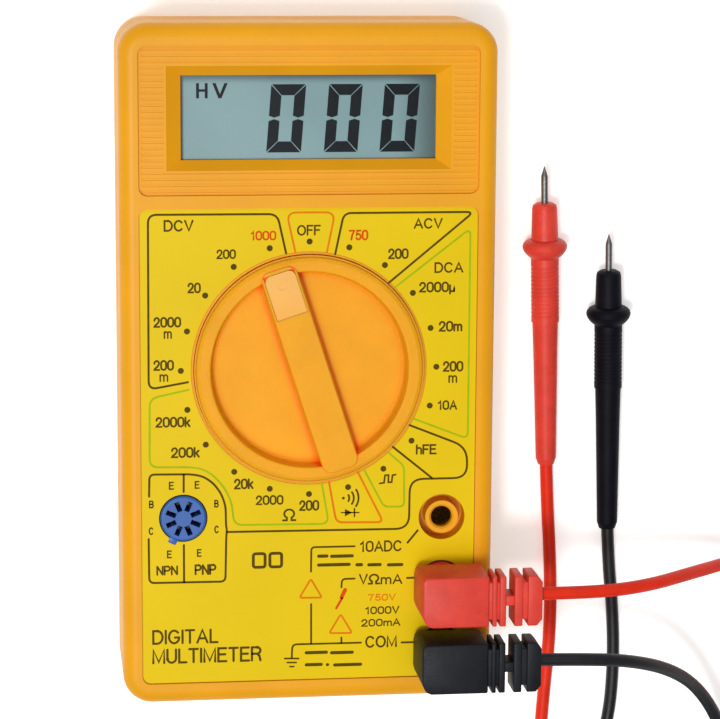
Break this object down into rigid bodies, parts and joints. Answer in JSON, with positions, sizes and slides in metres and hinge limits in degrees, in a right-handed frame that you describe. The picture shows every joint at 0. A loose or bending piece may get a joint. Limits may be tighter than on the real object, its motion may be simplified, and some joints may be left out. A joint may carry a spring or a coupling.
{
  "type": "digital multimeter",
  "caption": "Hand-held digital multimeter lying on its back: boxy case, recessed display, rotary range selector, jacks, and red and black test leads ending in needle probes.",
  "frame": {"origin": "centre of the back face, on the surface the meter lies on", "axes": "+Z out of the front panel, along the jacks; +Y along the case towards the display; +X towards the jack side"},
  "size_m": [0.1585, 0.186, 0.0376],
  "materials": {
    "case_plastic": "moulded ABS, fine matte grain",
    "label_film": "printed polyester film, satin",
    "board": "solder resist, satin",
    "plated_brass": "bright plated",
    "socket_blue": "satin moulded",
    "lcd_glass": "display glass with matte polariser",
    "foil": "matte reflector",
    "white_plastic": "satin",
    "elastomer": "matte",
    "cell_jacket": "printed jacket, satin",
    "black_plastic": "satin",
    "wire_red": "satin insulation",
    "fuse_glass": "clear with plated caps",
    "shunt_metal": "drawn wire",
    "epoxy_black": "cured drop",
    "trimmer_blue": "satin",
    "resistor_body": "lacquer",
    "capacitor_sleeve": "sleeve",
    "screw_steel": "zinc plated",
    "knob_plastic": "moulded ABS, satin",
    "pointer_plastic": "lighter insert, satin",
    "nickel": "nickel plated",
    "needle_steel": "dark nickel, sharpened",
    "red_plastic": "soft PVC, satin",
    "black_plastic_lead": "soft PVC, satin",
    "red_cord": "flexible PVC, satin",
    "black_cord": "flexible PVC, satin",
    "tie_plastic": "satin"
  },
  "bodies": {
    "meter": {"rear_case": "case_plastic", "front_case": "case_plastic", "face_label": "label_film", "circuit_board": "board", "jack_10a": "plated_brass", "jack_vma": "plated_brass", "jack_com": "plated_brass", "transistor_socket": "socket_blue", "socket_contacts": "plated_brass", "lcd_glass": "lcd_glass", "lcd_reflector": "foil", "lcd_holder": "white_plastic", "zebra_strips": "elastomer", "battery": "cell_jacket", "battery_snap": "black_plastic", "battery_wires": "wire_red", "fuse": "fuse_glass", "fuse_clips": "plated_brass", "shunt_wire": "shunt_metal", "chip_blob": "epoxy_black", "trimmer": "trimmer_blue", "resistors": "resistor_body", "capacitors": "capacitor_sleeve", "buzzer": "black_plastic", "case_screws": "screw_steel", "board_screws": "screw_steel"},
    "knob": {"selector_knob": "knob_plastic", "knob_pointer": "pointer_plastic", "detent_balls": "screw_steel", "detent_springs": "screw_steel", "wiper_contacts": "plated_brass"},
    "red_lead": {"red_plug_body": "red_plastic", "red_plug_pin": "nickel", "red_plug_cord": "red_cord", "red_cord_coil": "red_cord", "red_cord_tie": "tie_plastic", "red_probe_cord": "red_cord", "red_probe_handle": "red_plastic", "red_probe_boot": "red_plastic", "red_probe_needle": "needle_steel"},
    "black_lead": {"black_plug_body": "black_plastic_lead", "black_plug_pin": "nickel", "black_plug_cord": "black_cord", "black_cord_coil": "black_cord", "black_cord_tie": "tie_plastic", "black_probe_cord": "black_cord", "black_probe_handle": "black_plastic_lead", "black_probe_boot": "black_plastic_lead", "black_probe_needle": "needle_steel"}
  },
  "joints": [
    {"name": "selector_turn", "type": "hinge", "parent": "meter", "child": "knob", "pos_m": [0, 0, 0.0246], "axis": [0, 0, 1], "continuous": true},
    {"name": "red_plug_pull", "type": "slide", "parent": "meter", "child": "red_lead", "axis": [0, 0, 1], "range_m": [0, 0.018]},
    {"name": "black_plug_pull", "type": "slide", "parent": "meter", "child": "black_lead", "axis": [0, 0, 1], "range_m": [0, 0.018]}
  ]
}
